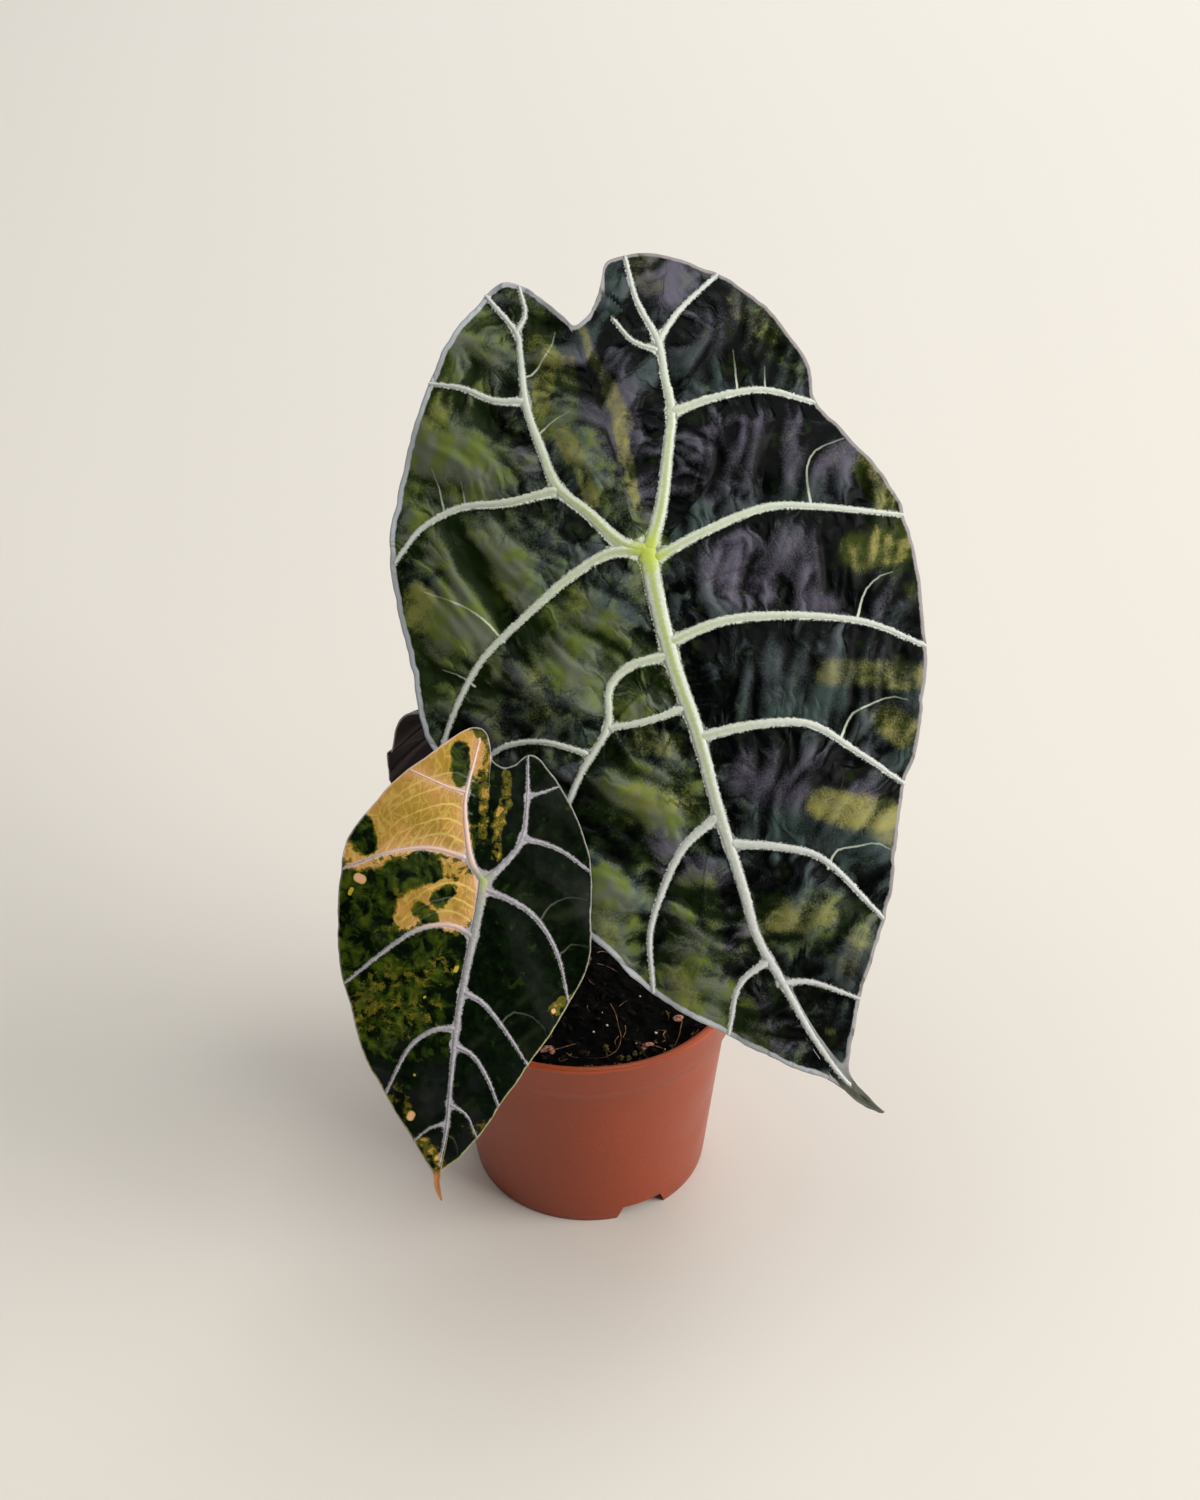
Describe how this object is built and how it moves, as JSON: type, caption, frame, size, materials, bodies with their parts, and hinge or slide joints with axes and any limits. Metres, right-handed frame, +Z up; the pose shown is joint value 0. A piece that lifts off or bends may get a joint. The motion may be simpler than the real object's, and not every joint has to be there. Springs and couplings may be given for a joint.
{
  "type": "potted alocasia watsoniana",
  "caption": "Alocasia watsoniana with arrow-shaped, quilted, pale-veined leaves on round stalks, growing from a short crown in potting soil in a collared plastic nursery pot.",
  "frame": {"origin": "the middle of the plant's footprint, on the surface that the pot stands on", "axes": "+Z up; -Y is the front, towards which the large leaf's upper face looks; +X to the right seen from the front"},
  "size_m": [0.1998, 0.215, 0.3422],
  "materials": {
    "pot": "satin terracotta-coloured polypropylene",
    "soil": "moist dark potting mix with bark",
    "crown": "fibrous, dull",
    "stalk": "smooth, waxy green",
    "dark_leaf": "satin, nearly black green with pale ribs",
    "gold_leaf": "satin, dark green variegated with gold",
    "maroon_leaf": "satin, dark maroon underside"
  },
  "bodies": {
    "root": {"pot": "pot", "soil": "soil", "crown": "crown", "large_leaf_stalk": "stalk", "large_leaf_blade": "dark_leaf", "small_leaf_stalk": "stalk", "small_leaf_blade": "gold_leaf", "back_leaf_stalk": "stalk", "back_leaf_blade": "maroon_leaf"}
  },
  "joints": []
}
